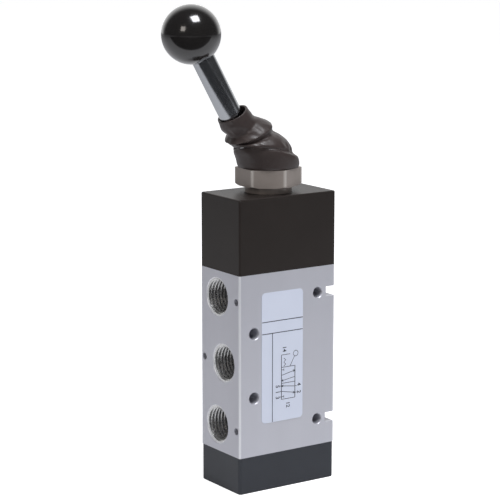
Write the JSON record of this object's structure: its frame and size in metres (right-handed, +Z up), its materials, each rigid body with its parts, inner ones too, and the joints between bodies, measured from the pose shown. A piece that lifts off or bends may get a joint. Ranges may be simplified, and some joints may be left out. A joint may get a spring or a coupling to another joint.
{
  "type": "hand lever air valve",
  "caption": "Hand lever air valve with side ports, a plain label and a black ball knob on a chrome lever in a rubber boot.",
  "frame": {"origin": "centre of the end cap's flat underside, on the spool axis", "axes": "+Z up along the spool axis, towards the lever; +X across the wide face, away from the side with three ports; the label faces -Y"},
  "size_m": [0.0612, 0.0241, 0.1683],
  "materials": {
    "aluminium": "satin",
    "black_block": "satin",
    "grey_cap": "satin",
    "nickel": "satin",
    "steel": "satin",
    "chrome": "polished",
    "knob": "gloss",
    "boot": "satin",
    "nitrile": "matte",
    "label": "satin",
    "brass": "satin"
  },
  "bodies": {
    "valve": {"valve_body": "aluminium", "end_cap": "grey_cap", "lever_housing": "black_block", "spool_guide": "brass", "hex_bushing": "nickel", "ball_retainer": "brass", "retaining_ring": "steel", "dust_boot": "boot", "label": "label", "tie_screws": "steel", "seal_1": "nitrile", "seal_2": "nitrile", "seal_3": "nitrile", "seal_4": "nitrile", "seal_5": "nitrile", "seal_6": "nitrile", "spacer_1": "brass", "spacer_2": "brass", "spacer_3": "brass", "spacer_4": "brass", "spacer_5": "brass"},
    "lever": {"lever_stem": "steel", "hinge_pin": "steel", "cam_pin": "steel", "lever_rod": "chrome", "ball_knob": "knob"},
    "spool": {"spool": "steel", "cam_yoke": "steel"}
  },
  "joints": [
    {"name": "lever_tilt", "type": "hinge", "parent": "valve", "child": "lever", "pos_m": [0, 0, 0.103], "axis": [0, 1, 0], "range_deg": [0, 58.8], "deforming": ["dust_boot"]},
    {"name": "spool_slide", "type": "slide", "parent": "valve", "child": "spool", "axis": [0, 0, 1], "range_m": [-0.00445, 0]}
  ],
  "couplings": [
    {"joint": "spool_slide", "follows": "lever_tilt", "m_per_rad": -0.0042874}
  ]
}
